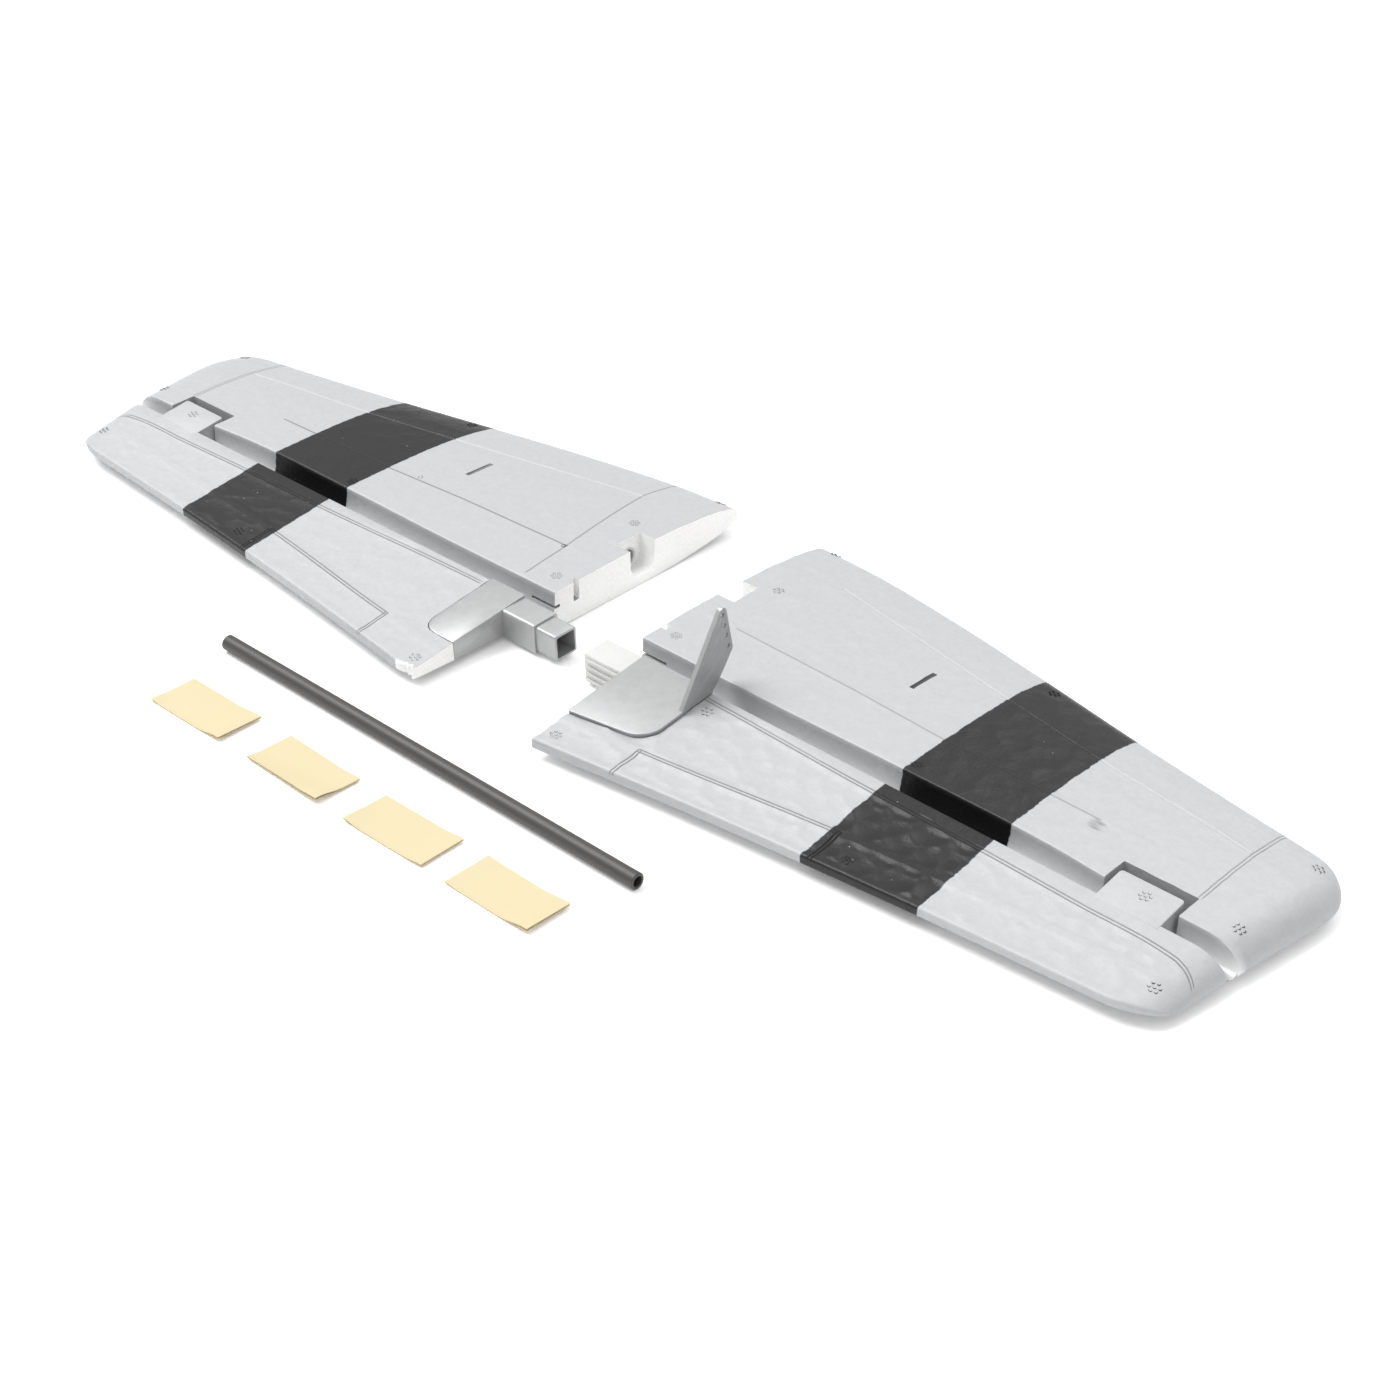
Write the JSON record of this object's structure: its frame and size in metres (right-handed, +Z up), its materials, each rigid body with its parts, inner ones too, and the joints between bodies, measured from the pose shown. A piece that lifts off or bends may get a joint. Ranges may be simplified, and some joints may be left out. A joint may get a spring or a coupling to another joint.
{
  "type": "model aircraft horizontal tail set",
  "caption": "Two foam stabiliser halves with hinged elevators, control horn, square elevator joiner, joiner tube and tape strips, laid out underside up.",
  "frame": {"origin": "centre of the layout bounding box, on the table", "axes": "+X along the span towards the right half, +Y towards the leading edges, +Z up from the table, which is towards the aeroplane underside"},
  "size_m": [0.56, 0.2322, 0.0466],
  "materials": {
    "painted_foam": "satin metallic silver paint on moulded bead foam, with black bands",
    "raw_foam": "unpainted white bead foam",
    "grey_plastic": "satin silver paint on moulded plastic",
    "white_plastic": "natural moulded plastic, satin",
    "dark_plastic": "moulded plastic, satin",
    "carbon_tube": "ground pultruded carbon tube, satin",
    "liner_paper": "smooth release paper",
    "clear_film": "clear adhesive film"
  },
  "bodies": {
    "left_half": {"stabiliser_left": "painted_foam", "tube_sleeve_left": "white_plastic", "tube_guide_left": "dark_plastic"},
    "left_elevator": {"elevator_left": "painted_foam", "joiner_spigot": "grey_plastic", "hinge_web_left": "raw_foam"},
    "right_half": {"stabiliser_right": "painted_foam", "tube_sleeve_right": "white_plastic", "tube_guide_right": "dark_plastic"},
    "right_elevator": {"elevator_right": "painted_foam", "joiner_socket": "white_plastic", "control_horn": "grey_plastic", "hinge_web_right": "raw_foam"},
    "loose_tube": {"joiner_tube": "carbon_tube"},
    "tape_1": {"tape_strip_1": "clear_film", "tape_liner_1": "liner_paper"},
    "tape_2": {"tape_strip_2": "clear_film", "tape_liner_2": "liner_paper"},
    "tape_3": {"tape_strip_3": "clear_film", "tape_liner_3": "liner_paper"},
    "tape_4": {"tape_strip_4": "clear_film", "tape_liner_4": "liner_paper"}
  },
  "joints": [
    {"name": "elevator_left_hinge", "type": "hinge", "parent": "left_half", "child": "left_elevator", "pos_m": [-0.13, 0.0122, 0.0043], "axis": [1, 0, 0], "range_deg": [-25, 22], "deforming": ["hinge_web_left"]},
    {"name": "halves_together", "type": "slide", "parent": "left_half", "child": "right_half", "axis": [-1, 0, 0], "range_m": [0, 0.0258]},
    {"name": "elevator_right_hinge", "type": "hinge", "parent": "right_half", "child": "right_elevator", "pos_m": [0.13, 0.0122, 0.0043], "axis": [1, 0, 0], "range_deg": [-25, 22], "deforming": ["hinge_web_right"]},
    {"name": "tube_lift", "type": "slide", "parent": "left_half", "child": "loose_tube", "axis": [0, 0, 1], "range_m": [0, 0.04]},
    {"name": "tape_lift_1", "type": "slide", "parent": "left_half", "child": "tape_1", "axis": [0, 0, 1], "range_m": [0, 0.02]},
    {"name": "tape_lift_2", "type": "slide", "parent": "left_half", "child": "tape_2", "axis": [0, 0, 1], "range_m": [0, 0.02]},
    {"name": "tape_lift_3", "type": "slide", "parent": "left_half", "child": "tape_3", "axis": [0, 0, 1], "range_m": [0, 0.02]},
    {"name": "tape_lift_4", "type": "slide", "parent": "left_half", "child": "tape_4", "axis": [0, 0, 1], "range_m": [0, 0.02]}
  ],
  "couplings": [
    {"joint": "elevator_right_hinge", "follows": "elevator_left_hinge", "ratio": 1}
  ]
}
